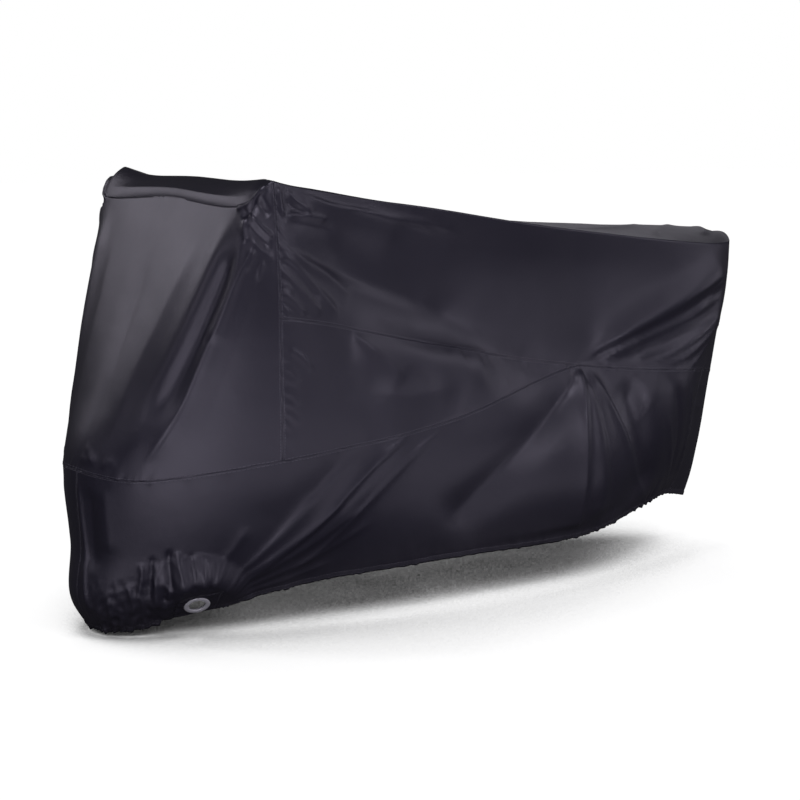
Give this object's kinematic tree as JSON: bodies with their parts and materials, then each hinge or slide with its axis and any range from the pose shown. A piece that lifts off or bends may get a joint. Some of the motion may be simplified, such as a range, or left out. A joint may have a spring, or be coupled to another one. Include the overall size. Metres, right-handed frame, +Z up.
{
  "type": "motorcycle cover",
  "caption": "Fitted outdoor dust and rain cover of coated fabric for a motorcycle or scooter, with sewn side panels, gathered hem and metal lock eyelets.",
  "frame": {"origin": "the point just under the roof cloth, on the cover's middle line, where the thing that it covers holds it up", "axes": "+X to the rear, along the length; +Y to the far side, opposite the side that the picture shows; +Z up"},
  "size_m": [2.1342, 0.7947, 1.1486],
  "materials": {
    "cover_cloth": "coated woven nylon with a satin gloss",
    "eyelet_metal": "bright plated"
  },
  "bodies": {
    "root": {"front_panel": "cover_cloth", "body_panel": "cover_cloth", "wedge_near": "cover_cloth", "wedge_far": "cover_cloth", "skirt_near": "cover_cloth", "skirt_far": "cover_cloth", "eyelet_tab_near": "cover_cloth", "eyelet_tab_far": "cover_cloth", "eyelet_near": "eyelet_metal", "eyelet_far": "eyelet_metal"}
  },
  "joints": []
}
